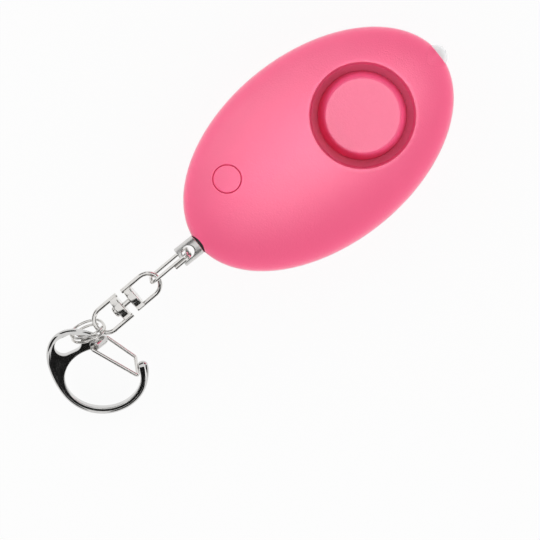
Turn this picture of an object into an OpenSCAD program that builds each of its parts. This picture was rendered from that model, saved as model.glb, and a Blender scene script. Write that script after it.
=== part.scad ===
// Personal safety alarm: an egg-shaped case with a sounder, a test button, a lamp and a pull pin,
// on a plated chain of a link, a swivel, a split ring and a wire-gate clasp.
// Millimetres. The origin is the middle of the flat rest face under the case, +Z is up through the
// sounder, +X points to the lamp, and the chain leaves along -X.

/* [Case] */
// Length of the case
case_length = 65; // [62:0.5:72]
// Width of the case
case_width = 41.2; // [40:0.2:46]
// Height of the front dome above the parting line
front_height = 10.2; // [9.8:0.1:12]
// Height of the parting line above the rest face
rear_height = 8.8; // [8.8:0.1:11]
// How far the rear would bulge past the rest face if it were not cut flat
rear_bulge = 0.6; // [0.4:0.1:1]
// Fullness of the rear: 2 is an ellipsoid, more is boxier
rear_fullness = 3; // [2.6:0.1:4]
// Wall of both shells
wall = 1.8; // [1.5:0.1:2]
// Height of the lip that lines up the two shells
lip_height = 1; // [0.6:0.1:1.4]
// Thickness of that lip
lip_wall = 0.8; // [0.6:0.1:1]
// Depth of the lip's root below the parting line
lip_root = 1.5; // [1:0.1:2]
// Gap between the lip and the front shell
lip_gap = 0.4; // [0.3:0.05:0.6]

/* [Sounder] */
// Distance of the sounder's axis from the lamp end of the case
sounder_x = 21; // [20:0.1:22]
// Radius of the groove's outer edge
groove_r = 11.3; // [10.9:0.1:11.5]
// Radius of the cap's flat top
cap_top_r = 8; // [7.4:0.1:8.4]
// Radius of the cap's foot, down in the groove
cap_foot_r = 9.2; // [8.9:0.1:9.3]
// Width of the ring-shaped sound slot round the cap's foot
sound_slot = 0.4; // [0.3:0.05:0.5]
// Depth of the groove at the cap's foot, below the cap's flat top
groove_depth = 3; // [2.6:0.1:3.2]
// Thickness of the cap and of the groove's wall below its lowest point
groove_floor = 1; // [0.8:0.1:1.2]
// Thickness of the cap's mounting ring
flange_t = 0.8; // [0.6:0.1:1]
// Radius of the cap's mounting ring
flange_r = 11.4; // [11.2:0.05:11.5]
// Width of that ring, which closes the view down the slot
flange_w = 2.8; // [2.6:0.1:3.2]
// Width of the sounder's gasket
gasket_w = 1.2; // [1:0.1:1.6]
// Number of spokes that hold the cap
spokes = 4; // [3:1:6]
// Thickness of the sounder's gasket
gasket_t = 0.5; // [0.4:0.1:0.6]
// Thickness of the brass plate
plate_t = 0.3; // [0.2:0.05:0.4]
// Radius of the ceramic disc
ceramic_r = 8; // [7:0.5:9]
// Thickness of the ceramic disc
ceramic_t = 0.2; // [0.2:0.05:0.3]

/* [Button] */
// Place of the button along the case
button_x = -19.1; // [-20:0.1:-18]
// Place of the button across the case
button_y = 7.1; // [6.5:0.1:7.5]
// Radius of the button
button_r = 2.85; // [2.5:0.05:3]
// Gap round the button
button_gap = 0.2; // [0.15:0.05:0.3]
// Travel of the button
button_travel = 0.5; // [0.3:0.1:0.6]
// Radius of the button's retaining flange
button_flange_r = 3.45; // [3.4:0.05:3.6]
// Side of the switch's square body
switch_side = 4; // [3.6:0.1:4.2]
// Height of the switch's body
switch_height = 2.5; // [2.2:0.1:2.6]
// Radius of the switch's plunger
plunger_r = 1; // [0.8:0.05:1.2]

/* [Lamp] */
// Radius of the lamp
lamp_r = 2.5; // [2.3:0.05:2.7]
// How far the lamp's tip stands out of the case
lamp_reach = 1.5; // [1:0.1:2]
// Length of the lamp from its foot to its tip
lamp_length = 8.6; // [8:0.1:9]
// Gap round the lamp in the case
lamp_gap = 0.1; // [0.05:0.05:0.2]
// Thickness of a lamp lead
lead_t = 0.5; // [0.4:0.05:0.6]
// Length of a lamp lead
lead_length = 5; // [4:0.5:7]
// Distance between the lamp's leads
lead_pitch = 2.54; // [2:0.02:3]

/* [Battery and board] */
// Radius of a button cell
cell_r = 5.8; // [5.6:0.05:5.9]
// Height of a button cell
cell_height = 5.4; // [5:0.1:5.4]
// Gap between neighbouring cells
cell_gap = 0.3; // [0.2:0.05:0.4]
// Wall of the battery tray
tray_wall = 0.8; // [0.6:0.1:1]
// Gap between a cell and the tray
tray_gap = 0.1; // [0.05:0.05:0.15]
// Thickness of a contact strip
strip_t = 0.15; // [0.1:0.05:0.15]
// Width of a contact strip
strip_w = 3; // [2:0.5:4]
// Thickness of the circuit board
board_t = 1; // [0.8:0.1:1]
// Gap between the board's edge and the case's lip
board_gap = 1.2; // [1:0.1:1.6]
// Radius of the drive coil
coil_r = 3; // [2.5:0.1:3.5]
// Height of the drive coil
coil_height = 1.8; // [1.4:0.1:2]
// Height of the driver chip
chip_height = 1.5; // [1.2:0.1:1.8]

/* [Screws] */
// Radius of a screw's shank
screw_r = 0.95; // [0.8:0.05:1.1]
// Radius of a screw's head
screw_head_r = 1.9; // [1.7:0.1:2.1]
// Height of a screw's head
screw_head_h = 1.4; // [1.2:0.1:1.6]
// Height above the rest face at which the heads seat
screw_seat_z = 4.4; // [4:0.1:4.8]
// Height of a screw's tip above the rest face
screw_tip_z = 11.8; // [11:0.1:12]
// Distance of the lamp-end screws from the middle line
screw_spread = 8.8; // [8.6:0.1:9]
// Distance of the pin-end screw from the end of the case
pin_screw_inset = 12.5; // [12:0.1:13]
// Distance of the pin-end screw from the middle line
pin_screw_side = 10; // [9.6:0.1:10.4]
// Width of a blade of the screws' cross
drive_w = 0.5; // [0.4:0.05:0.6]
// Depth of the screws' cross
drive_depth = 0.6; // [0.4:0.05:0.8]
// Running clearance round a screw
screw_gap = 0.02; // [0.02:0.01:0.05]

/* [Pull pin] */
// Radius of the metal cap
cap_r = 2.25; // [2.1:0.05:2.4]
// Length of the metal cap
cap_length = 5; // [4.6:0.1:5.6]
// How far the cap starts inside the end of the case
cap_inset = 0.3; // [0.2:0.05:0.4]
// Distance of the cross hole from the cap's outer end
cross_hole_inset = 2.2; // [2:0.1:2.6]
// Radius of the cross hole
cross_hole_r = 1.35; // [1.3:0.05:1.5]
// Length of the black plug behind the cap
plug_length = 4.5; // [4:0.1:5]
// Running clearance of the plug in the case
plug_gap = 0.08; // [0.05:0.01:0.1]
// Radius of the steel shaft
shaft_r = 1.25; // [1.1:0.05:1.35]
// Length of the shaft behind the plug
shaft_length = 8; // [6:0.5:9]
// Wall of the socket round the plug
socket_wall = 1; // [0.8:0.1:1.2]
// Running clearance of the shaft in the socket
shaft_gap = 0.06; // [0.04:0.01:0.1]
// Travel of the pin when it is pulled out
pin_travel = 14; // [10:0.5:18]

/* [Oval link] */
// Radius of the link's wire
link_wire_r = 0.4; // [0.35:0.05:0.45]
// Distance between the link's end rods
link_length = 9.9; // [9:0.1:11]
// Gap between the link and the cap
link_gap = 0.35; // [0.3:0.05:0.5]
// Radius of the link's corners
link_bend = 1.4; // [1.2:0.1:1.8]
// Length of the overlapping end of the wire
link_tail = 2.6; // [2:0.1:3]
// Turn of the link to the side
link_yaw = 2; // [0:0.5:4]
// Drop of the link towards its far end
link_drop = 5; // [3:0.5:6]
// Roll of the link about its length
link_roll = 10.6; // [8:0.2:12]

/* [Swivel] */
// Radius of a loop's wire
loop_wire_r = 0.5; // [0.45:0.05:0.55]
// Width of a loop over its wires
loop_width = 6.5; // [6:0.1:6.8]
// Length of a loop
loop_length = 8.2; // [7.8:0.1:8.6]
// Gap between the two loops
swivel_gap = 1.3; // [1:0.1:1.6]
// Thickness of a loop's drum
drum_t = 1.8; // [1.6:0.1:2]
// How far a drum is set back from the ends of its loop
drum_inset = 0.25; // [0.1:0.05:0.4]
// Radius of the rivet
rivet_r = 0.6; // [0.5:0.05:0.7]
// Radius of the rivet's head
rivet_head_r = 1.25; // [1.1:0.05:1.4]
// Thickness of the rivet's head
rivet_head_t = 0.7; // [0.6:0.1:0.9]
// Running clearance round the rivet
rivet_gap = 0.06; // [0.04:0.01:0.1]
// Gap between linked wires
chain_gap = 0.3; // [0.25:0.05:0.4]
// Drop of the swivel towards the clasp
swivel_drop = 5; // [4:0.1:6]
// Turn of the swivel to the side
swivel_yaw = 2; // [0:0.1:3]
// Roll of the upper loop about the swivel's axis
upper_roll = 22; // [10:1:30]

/* [Split ring] */
// Radius of the ring at the middle of its wire
ring_r = 3.65; // [3.5:0.05:3.9]
// Radius of the ring's wire
ring_wire_r = 0.3; // [0.25:0.05:0.35]
// Distance between the ring's two turns
ring_pitch = 1.05; // [1:0.05:1.15]
// Half angle over which the wire climbs from one turn to the other
ring_climb = 35; // [30:1:45]
// Lean of the ring's plane
ring_lean = 67; // [64:1:70]
// Rise of the ring towards the clasp
ring_rise = 9; // [6:1:12]
// Turn of the ring to the side
ring_yaw = -13; // [-16:1:-8]

/* [Clasp] */
// Half width of the clasp's opening
opening_a = 8; // [7.6:0.1:8.6]
// Half height of the clasp's opening
opening_b = 6.62; // [6.2:0.02:7]
// Thickness of the clasp's body
clasp_t = 2.2; // [2:0.1:2.6]
// Edge bevel of the body
clasp_bevel = 0.45; // [0.3:0.05:0.5]
// Width of the body at its narrowest
band_w = 1.5; // [1.3:0.1:2]
// Extra width of the body at the eye
lobe_w = 4.9; // [4.7:0.1:5.4]
// Extra width of the nose
nose_w = 0.6; // [0.4:0.1:0.8]
// Radius of the eye's ends
eye_r = 1.85; // [1.8:0.05:1.95]
// Distance between the eye's ends
eye_length = 2; // [1.8:0.1:2.2]
// Radius of the gate's wire
gate_wire_r = 0.4; // [0.35:0.05:0.45]
// Distance between the gate's two strands
gate_width = 6.2; // [6:0.1:6.6]
// Radius of the knob that carries the gate
knob_r = 1.15; // [1.05:0.05:1.2]
// Running clearance of the gate in the knob
gate_gap = 0.05; // [0.03:0.01:0.08]
// Gap between the gate and the faces beside it
gate_side_gap = 0.15; // [0.12:0.01:0.2]
// Lean of the gate's end bar
gate_lean = 23.6; // [21:0.2:26]
// Skew of the gate's end bar
gate_skew = 5.9; // [4:0.1:8]
// How far the end bar sits inside the opening's edge
latch_inset = 0.3; // [0.2:0.05:0.4]
// Lean of the gate's pivot
pivot_lean = 10; // [6:1:14]
// Skew of the gate's pivot
pivot_skew = 33; // [28:1:36]
// Tilt of the clasp as it lies
clasp_tilt = 15; // [12:1:18]
// Turn of the clasp as it lies
clasp_turn = -38.2; // [-42:0.2:-34]

/* [Hidden] */
$fn = 64;
far = 200;

// The case: half axes, and the dome's height over a point
half_l = case_length / 2;
half_w = case_width / 2;
parting_z = rear_height;
sounder_mid = half_l - sounder_x;
rear_depth = rear_height + rear_bulge;
function dome_z(x, y) = parting_z
    + front_height * sqrt(max(0, 1 - pow(x / half_l, 2) - pow(y / half_w, 2)));
// Space that is left under the lip, for the lip itself and for the board
lip_l = half_l - wall - lip_gap;
lip_w = half_w - wall - lip_gap;
board_l = lip_l - lip_wall - board_gap;
board_w = lip_w - lip_wall - board_gap;

// The groove's wall leans and its floor rises outwards by this much, and the ring under it laps into the shell
groove_draft = 0.15;
groove_rise = 0.8;
groove_lap = 0.6;
flange_gap = 0.1;
// The cap's top is level, and flush with the dome on the lamp's side
cap_top_z = dome_z(sounder_mid + cap_top_r, 0);

// Heights inside the case
floor_z = wall;
cell_z = floor_z + strip_t;
cell_top = cell_z + cell_height;
board_top = parting_z - lead_t / 2;
board_z = board_top - board_t;
flange_z = cap_top_z - groove_depth - groove_floor - flange_t - flange_gap;
gasket_z = flange_z - gasket_t;
plate_z = gasket_z - plate_t;
ceramic_z = plate_z - ceramic_t;
slot_r = cap_foot_r + sound_slot;
seat_gap = 0.1;
seat_wall = 1;
spoke_w = 1.6;
spoke_bite = 0.4;

// The button's stack, from the board up
switch_z = board_top;
plunger_top = switch_z + switch_height + button_travel + 0.2;
button_flange_t = 0.7;
button_flange_z = plunger_top + 0.15;
plunger_depth = 0.8;

// Screw places: two by the lamp, one by the pin
screw_back = 0.1;
screw_places = [
    [sounder_mid + flange_r - screw_back, screw_spread],
    [sounder_mid + flange_r - screw_back, -screw_spread],
    [pin_screw_inset - half_l, -pin_screw_side]
];
rear_boss_r = 3.5;
front_boss_r = 2.3;
boss_gap = 0.2;

// The pin, along -X at the parting line
plug_r = cap_r - 0.05;
pin_hole_r = plug_r + plug_gap;
cap_start = cap_inset - half_l;
cap_end = cap_start - cap_length;
plug_end = cap_start + plug_length;
shaft_end = plug_end + shaft_length;
socket_start = cap_start + 3;
socket_end = shaft_end + 1;
socket_r = pin_hole_r + socket_wall;
hole_x = cap_end + cross_hole_inset;
contact_gap = 0.1;

// The cells in a row under the board
cell_pitch = 2 * cell_r + cell_gap;
cell_clear = 1;
cell_places = [for (k = [0 : 2]) socket_end + cell_clear + cell_r + k * cell_pitch];

// Frames of the chain: turns about X, Y and Z, and the points that each frame hangs from
function about_x(v, a) = [v.x, v.y * cos(a) - v.z * sin(a), v.y * sin(a) + v.z * cos(a)];
function about_y(v, a) = [v.x * cos(a) + v.z * sin(a), v.y, v.z * cos(a) - v.x * sin(a)];
function about_z(v, a) = [v.x * cos(a) - v.y * sin(a), v.x * sin(a) + v.y * cos(a), v.z];
function turned(v, t) = about_z(about_y(about_x(v, t.x), t.y), t.z);

link_turn = [link_roll, -link_drop, link_yaw];
link_at = [hole_x, 0, parting_z];
strand_z = cap_r + link_gap + link_wire_r;
rod_offset = link_wire_r * 0.95;

swivel_turn = [0, -swivel_drop, swivel_yaw];
upper_turn = [upper_roll, -swivel_drop, swivel_yaw];
loop_half = loop_width / 2 - loop_wire_r;
apex_reach = link_length - link_wire_r - loop_wire_r - chain_gap;
apex_low = strand_z - link_wire_r - loop_wire_r - chain_gap;
swivel_at = link_at + turned([-apex_reach, 0, -apex_low], [0, -link_drop, link_yaw]);
swivel_span = 2 * (loop_length - loop_wire_r) + swivel_gap;
drum_r = loop_half;
lower_apex = swivel_at + turned([-swivel_span, 0, 0], swivel_turn);

ring_turn = [-ring_lean, ring_rise, ring_yaw];
ring_inner = ring_r - ring_wire_r;
ring_at = lower_apex + [chain_gap + 2 * loop_wire_r - ring_inner + 0.1, 0.65, -0.05];
ring_entry = ring_at + turned([-ring_r, 0, 0], ring_turn);

clasp_frame = [clasp_tilt, 0, clasp_turn];
lobe_angle = 138;
lobe_spread = 36;
nose_angle = 380;
nose_spread = 18;
head_end = 96;
nose_end = 383;
eye_turn = 25;
eye_angle = 135.3;
function opening_r(a) = 1 / sqrt(pow(cos(a) / opening_a, 2) + pow(sin(a) / opening_b, 2));
function bump(a, middle, spread) = exp(-pow((a - middle) / spread, 2));
function body_r(a) = opening_r(a) + band_w + lobe_w * bump(a, lobe_angle, lobe_spread)
    + nose_w * bump(a, nose_angle, nose_spread);
eye_middle = (opening_r(eye_angle) + body_r(eye_angle)) / 2 - 0.04;
eye_at = eye_middle * [cos(eye_angle), sin(eye_angle)];
// Where the ring's wire goes through the eye, in the clasp's own plane
eye_pass = [eye_at.x + 0.96, eye_at.y + 1.18, 0];
clasp_at = ring_entry - turned(eye_pass, clasp_frame);
pivot = [-0.9, opening_r(98) + 0.9, 0];
latch_angle = 17.8;
latch_r = opening_r(latch_angle) - latch_inset;
latch = [latch_r * cos(latch_angle), latch_r * sin(latch_angle), 0];
bar_axis = turned([0, 0, 1], [gate_lean, gate_skew, 0]);
gate_axis = turned([0, 0, 1], [pivot_lean, -pivot_skew, 0]);
knob_half = gate_width / 2 - gate_wire_r - gate_side_gap;
// The front strand dips towards the knob's end, so that end is cut back
front_strand = latch - pivot + gate_width / 2 * (bar_axis - gate_axis);
dip = -front_strand * gate_axis / norm(cross(front_strand, gate_axis));
knob_front = knob_half - dip * (knob_r + gate_wire_r);
knob_back = knob_half - 0.6;
pin_depth = 1.6;

// Joint places and axes, for the record
echo(button = [button_x, button_y, plunger_top]);
echo(pin = [cap_start, 0, parting_z]);
echo(link_swing = link_at);
echo(loop_tilt = swivel_at, axis = turned([0, 1, 0], upper_turn));
echo(swivel_spin = swivel_at, axis = turned([-1, 0, 0], swivel_turn));
echo(ring_swing = lower_apex, axis = turned([0, 1, 0], swivel_turn));
echo(clasp_swing = ring_entry, axis = turned([0, 1, 0], ring_turn));
echo(gate_open = clasp_at + turned(pivot, clasp_frame), axis = turned(-gate_axis, clasp_frame));
echo(clasp_middle = clasp_at);

// Faces of a skin of rings: `sides` points in a ring, ring after ring, wound outwards
function skin(first, last, sides, wrap = 0) = [
    for (k = [first : last - 1], i = [0 : sides - 1])
        let (low = k * sides, high = (wrap > 0 ? (k + 1) % wrap : k + 1) * sides, j = (i + 1) % sides)
            each [[low + i, high + i, high + j], [low + i, high + j, low + j]]
];

function flipped(faces) = [for (f = faces) [f[2], f[1], f[0]]];

// Half an egg above z = 0, with a straight skirt below it
module half_egg(a, b, h, fullness, skirt, rings, sides) {
    power = 2 / fullness;
    levels = [for (k = [0 : rings - 1]) 90 * k / rings];
    points = [
        for (i = [0 : sides - 1]) [a * cos(360 * i / sides), b * sin(360 * i / sides), -skirt],
        for (t = levels, i = [0 : sides - 1])
            let (s = pow(cos(t), power))
                [a * s * cos(360 * i / sides), b * s * sin(360 * i / sides), h * pow(sin(t), power)],
        [0, 0, h]
    ];
    tip = len(points) - 1;
    faces = [
        each skin(0, rings, sides),
        for (i = [0 : sides - 1]) [rings * sides + i, tip, rings * sides + (i + 1) % sides],
        [for (i = [0 : sides - 1]) i]
    ];
    polyhedron(points, faces);
}

module dome(inset, skirt, rings, sides) {
    translate([0, 0, parting_z])
        half_egg(half_l - inset, half_w - inset, front_height - inset, 2, skirt, rings, sides);
}

module rear_egg(inset, skirt, rings, sides) {
    intersection() {
        translate([0, 0, parting_z])
            mirror([0, 0, 1])
                half_egg(half_l - inset, half_w - inset, rear_depth - inset, rear_fullness, skirt, rings, sides);
        translate([-far, -far, inset])
            cube([2 * far, 2 * far, far]);
    }
}

// A ring round the sounder's axis whose section is a loop of [radius, depth], measured down from the dome,
// or of [radius, depth, level], measured down from a level
module dome_ring(section, sides) {
    count = len(section);
    points = [
        for (s = section, i = [0 : sides - 1])
            let (x = sounder_mid + s[0] * cos(360 * i / sides), y = s[0] * sin(360 * i / sides))
                [x, y, (len(s) > 2 ? s[2] : dome_z(x, y)) - s[1]]
    ];
    polyhedron(points, skin(0, count, sides, count));
}

module ellipse(a, b) {
    polygon([for (i = [0 : 71]) [a * cos(5 * i), b * sin(5 * i)]]);
}

module oval_ring(a, b, band) {
    difference() {
        ellipse(a, b);
        ellipse(a - band, b - band);
    }
}

module along_x(start, end, r) {
    translate([start, 0, parting_z])
        rotate([0, 90, 0])
            cylinder(h = end - start, r = r);
}

// A straight round rod between two points
module rod(from, to, r) {
    d = to - from;
    translate(from)
        rotate([0, acos(d.z / norm(d)), atan2(d.y, d.x)])
            cylinder(h = norm(d), r = r);
}

module front_boss(place) {
    translate([place.x, place.y, board_z + 0.05])
        cylinder(h = screw_tip_z + 1 - board_z, r = front_boss_r);
}

module front_shell() {
    color("#F77CA2")
        difference() {
            union() {
                difference() {
                    dome(0, 0, 16, 72);
                    dome(wall, 0.5, 12, 56);
                }
                dome_ring([
                    [slot_r - 0.4, groove_depth + groove_floor, cap_top_z],
                    [groove_r + groove_lap, groove_depth + groove_floor, cap_top_z],
                    [groove_r + groove_lap, wall / 2],
                    [slot_r - 0.4, wall / 2]
                ], 64);
                intersection() {
                    dome(wall / 2, 0, 12, 56);
                    translate([sounder_mid, 0, ceramic_z])
                        difference() {
                            cylinder(h = far, r = flange_r + seat_gap + seat_wall);
                            cylinder(h = 3 * far, r = flange_r + seat_gap, center = true);
                        }
                }
                intersection() {
                    dome(wall / 2, parting_z, 12, 56);
                    for (place = screw_places)
                        front_boss(place);
                }
            }
            translate([sounder_mid, 0, parting_z])
                cylinder(h = far, r = slot_r);
            dome_ring([
                [slot_r - 0.5, groove_depth, cap_top_z],
                [groove_r - groove_draft, groove_depth - groove_rise, cap_top_z],
                [groove_r + groove_draft / groove_depth, -1],
                [slot_r - 0.5, -1]
            ], 72);
            translate([button_x, button_y, parting_z])
                cylinder(h = far, r = button_r + button_gap);
            along_x(half_l - 6, half_l + 6, lamp_r + lamp_gap);
            along_x(-half_l - 6, 6 - half_l, pin_hole_r);
            along_x(socket_start - 0.2, 8 - half_l, socket_r + 0.2);
            for (place = screw_places)
                translate([place.x, place.y, 0])
                    cylinder(h = screw_tip_z + 0.3, r = screw_r + screw_gap);
        }
}

module rear_shell() {
    color("#F26A93")
        difference() {
            union() {
                difference() {
                    rear_egg(0, 0, 16, 72);
                    rear_egg(wall, 0.5, 12, 56);
                }
                intersection() {
                    rear_egg(wall / 2, 0, 10, 48);
                    for (place = screw_places)
                        translate([place.x, place.y, 0])
                            cylinder(h = board_z, r = rear_boss_r);
                }
                translate([0, 0, parting_z - lip_root])
                    linear_extrude(lip_root)
                        oval_ring(half_l - wall / 2, half_w - wall / 2, wall / 2 + lip_gap + lip_wall);
                translate([0, 0, parting_z - lip_root])
                    linear_extrude(lip_root + lip_height)
                        oval_ring(lip_l, lip_w, lip_wall);
            }
            along_x(half_l - 8, half_l + 6, lamp_r + lamp_gap);
            along_x(-half_l - 6, 8 - half_l, pin_hole_r);
            along_x(socket_start - 0.2, 8 - half_l, socket_r + 0.2);
            for (place = screw_places)
                translate([place.x, place.y, -1]) {
                    cylinder(h = far, r = screw_r + 4 * screw_gap);
                    cylinder(h = screw_seat_z + 1, r = screw_head_r + boss_gap);
                }
            for (place = screw_places)
                translate([place.x, place.y, board_z])
                    cylinder(h = far, r = front_boss_r + boss_gap);
        }
}

module sounder_cap() {
    post_h = cap_top_z - groove_depth - flange_z;
    color("#F992AF") {
        translate([sounder_mid, 0, cap_top_z - groove_depth - groove_floor])
            rotate_extrude()
                polygon([
                    [0, 0],
                    [cap_foot_r - 1, 0],
                    [cap_foot_r, groove_floor],
                    [cap_top_r, groove_floor + groove_depth],
                    [0, groove_floor + groove_depth]
                ]);
        translate([sounder_mid, 0, flange_z]) {
            difference() {
                cylinder(h = flange_t, r = flange_r);
                translate([0, 0, -1])
                    cylinder(h = flange_t + 2, r = flange_r - flange_w);
            }
            for (i = [0 : spokes - 1])
                rotate([0, 0, 45 + 360 * i / spokes]) {
                    translate([cap_foot_r - 2 * spoke_w, -spoke_w / 2, 0])
                        cube([flange_r - flange_w + spoke_bite - cap_foot_r + 2 * spoke_w, spoke_w, flange_t]);
                    translate([cap_foot_r - 1.4 * spoke_w, 0, 0])
                        cylinder(h = post_h, r = spoke_w / 2);
                }
        }
    }
}

module sounder_gasket() {
    color("#303030")
        translate([sounder_mid, 0, gasket_z])
            difference() {
                cylinder(h = gasket_t, r = flange_r);
                translate([0, 0, -1])
                    cylinder(h = gasket_t + 2, r = flange_r - gasket_w);
            }
}

module piezo_plate() {
    color("#C8A04A")
        translate([sounder_mid, 0, plate_z])
            cylinder(h = plate_t, r = flange_r);
}

module piezo_ceramic() {
    color("#E9E6DC")
        translate([sounder_mid, 0, ceramic_z])
            cylinder(h = ceramic_t, r = ceramic_r);
}

// Two short leads from the board: one to the ceramic, one to the brass plate
module sounder_wires() {
    wire_r = 0.3;
    color("#B03028") {
        translate([sounder_mid + ceramic_r - 2, -2, board_top])
            cylinder(h = ceramic_z - board_top, r = wire_r);
        translate([sounder_mid + ceramic_r + 1.5, 2, board_top])
            cylinder(h = plate_z - board_top, r = wire_r);
    }
}

module push_button() {
    stem_r = 1.5;
    color("#F77CA2") {
        intersection() {
            translate([button_x, button_y, button_flange_z])
                cylinder(h = far, r = button_r);
            dome(0, 0, 16, 72);
        }
        translate([button_x, button_y, plunger_top])
            cylinder(h = button_flange_z - plunger_top + 0.1, r = stem_r);
        translate([button_x, button_y, button_flange_z])
            cylinder(h = button_flange_t, r = button_flange_r);
    }
}

module switch_plunger() {
    color("#2A2A2A")
        translate([button_x, button_y, switch_z + switch_height - plunger_depth])
            cylinder(h = plunger_top - switch_z - switch_height + plunger_depth, r = plunger_r);
}

module switch_body() {
    color("#4A4A4C")
        translate([button_x, button_y, switch_z])
            difference() {
                translate([-switch_side / 2, -switch_side / 2, 0])
                    cube([switch_side, switch_side, switch_height]);
                translate([0, 0, switch_height - plunger_depth - button_travel - 0.2])
                    cylinder(h = far, r = plunger_r + 0.08);
            }
}

module circuit_board() {
    notch = 0.5;
    color("#2E7D4F")
        translate([0, 0, board_z])
            linear_extrude(board_t)
                difference() {
                    ellipse(board_l, board_w);
                    translate([-far, -socket_r - notch])
                        square([far + socket_end + notch, 2 * (socket_r + notch)]);
                    translate([half_l + lamp_reach - lamp_length - notch, -lamp_r - 2 * notch])
                        square([far, 2 * (lamp_r + 2 * notch)]);
                    for (place = screw_places)
                        translate(place)
                            circle(r = front_boss_r + boss_gap);
                }
}

module driver_chip() {
    color("#1E1E20")
        translate([-4, -11, board_top])
            cube([5, 4, chip_height]);
}

module drive_coil() {
    flange = 0.5;
    color("#7A4A2A")
        translate([-5, 8, board_top])
            rotate_extrude()
                polygon([
                    [0, 0],
                    [coil_r, 0],
                    [coil_r, flange],
                    [coil_r - 0.6, flange],
                    [coil_r - 0.6, coil_height - flange],
                    [coil_r, coil_height - flange],
                    [coil_r, coil_height],
                    [0, coil_height]
                ]);
}

// The lamp: a round-tipped lens with a foot, its tip just outside the case
module lamp() {
    tip = half_l + lamp_reach;
    foot = tip - lamp_length;
    color("#E4E6E8")
        translate([foot, 0, parting_z])
            rotate([0, 90, 0]) {
                cylinder(h = lamp_length - lamp_r, r = lamp_r);
                translate([0, 0, lamp_length - lamp_r])
                    sphere(r = lamp_r);
                cylinder(h = 1, r = lamp_r + 0.4);
            }
}

module lamp_leads() {
    foot = half_l + lamp_reach - lamp_length;
    color("#C9CCD0")
        for (side = [-1, 1])
            translate([foot - lead_length, side * lead_pitch / 2 - lead_t / 2, board_top])
                cube([lead_length, lead_t, lead_t]);
}

module battery_tray() {
    outer = cell_r + tray_gap + tray_wall;
    bottom = cell_z + 0.05;
    color("#26262A")
        translate([0, 0, bottom])
            linear_extrude(cell_height - 0.4)
                difference() {
                    union() {
                        for (x = cell_places)
                            translate([x, 0])
                                circle(r = outer);
                        translate([cell_places[0], -outer])
                            square([2 * cell_pitch, 2 * outer]);
                    }
                    for (x = cell_places)
                        translate([x, 0])
                            circle(r = cell_r + tray_gap);
                }
}

// One cell stands on its can, with its smaller cap up; the middle cell is the other way up
module cell() {
    edge = 0.3;
    cap = 0.4;
    rotate_extrude()
        polygon([
            [0, 0],
            [cell_r - edge, 0],
            [cell_r, edge],
            [cell_r, cell_height - cap - edge],
            [cell_r - edge, cell_height - cap],
            [cell_r - 1.2, cell_height - cap],
            [cell_r - 1.4, cell_height],
            [0, cell_height]
        ]);
}

module button_cells() {
    color("#C4C7CC")
        for (i = [0 : 2])
            translate([cell_places[i], 0, cell_z + (i == 1 ? 0 : cell_height)])
                mirror([0, 0, i == 1 ? 0 : 1])
                    cell();
}

module positive_contact() {
    color("#D0D3D7")
        translate([cell_places[2] - 2, -strip_w / 2, cell_top])
            cube([4, strip_w, board_z - cell_top]);
}

// Under the first cell, then up beside the tray to the board
module negative_contact() {
    tab_y = cell_r + tray_gap + tray_wall + 0.3;
    color("#D0D3D7")
        translate([cell_places[0] - strip_w / 2, 0, floor_z]) {
            translate([0, -2, 0])
                cube([strip_w, tab_y + strip_t + 2, strip_t]);
            translate([0, tab_y, 0])
                cube([strip_w, strip_t, board_z - floor_z]);
        }
}

module contact_bridges() {
    color("#D0D3D7") {
        translate([cell_places[1] - 2, -strip_w / 2, floor_z])
            cube([cell_pitch + 4, strip_w, strip_t]);
        translate([cell_places[0] - 2, -strip_w / 2, cell_top])
            cube([cell_pitch + 4, strip_w, strip_t]);
    }
}

module pin_socket() {
    slot_w = 1;
    color("#1B1B1D")
        difference() {
            along_x(socket_start, socket_end, socket_r);
            along_x(socket_start - 1, plug_end + 0.2, pin_hole_r);
            along_x(socket_start, shaft_end + 0.2, shaft_r + shaft_gap);
            for (side = [-1, 1])
                translate([plug_end + 1, side * far / 2 - slot_w / 2 + side * slot_w / 2, parting_z - slot_w / 2])
                    translate([0, side < 0 ? -far / 2 : -far / 2 + slot_w, 0])
                        cube([shaft_length - 2, far, slot_w]);
        }
}

// A leaf on each side of the shaft, in the socket's slots
module pin_contacts() {
    leaf_w = 0.8;
    color("#C9A85A")
        for (side = [-1, 1])
            translate([
                plug_end + 1.2,
                side > 0 ? shaft_r + contact_gap : -socket_r - 0.3,
                parting_z - leaf_w / 2
            ])
                cube([shaft_length - 2.4, socket_r + 0.3 - shaft_r - contact_gap, leaf_w]);
}

module case_screws() {
    color("#B8BBC0")
        for (place = screw_places)
            translate([place.x, place.y, screw_seat_z - screw_head_h])
                difference() {
                    union() {
                        cylinder(h = screw_head_h, r = screw_head_r);
                        cylinder(h = screw_tip_z - screw_seat_z + screw_head_h, r = screw_r);
                    }
                    for (turn = [0, 90])
                        rotate([0, 0, turn])
                            translate([-screw_head_r * 0.6, -drive_w / 2, -1])
                                cube([screw_head_r * 1.2, drive_w, 1 + drive_depth]);
                }
}

module pin_plug() {
    color("#161616")
        difference() {
            along_x(cap_start, plug_end, plug_r);
            along_x(cap_start - 1, plug_end + 1, shaft_r);
        }
}

module pin_shaft() {
    color("#C6C9CE") {
        along_x(cap_start, shaft_end - shaft_r, shaft_r);
        translate([shaft_end - shaft_r, 0, parting_z])
            sphere(r = shaft_r);
    }
}

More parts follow.
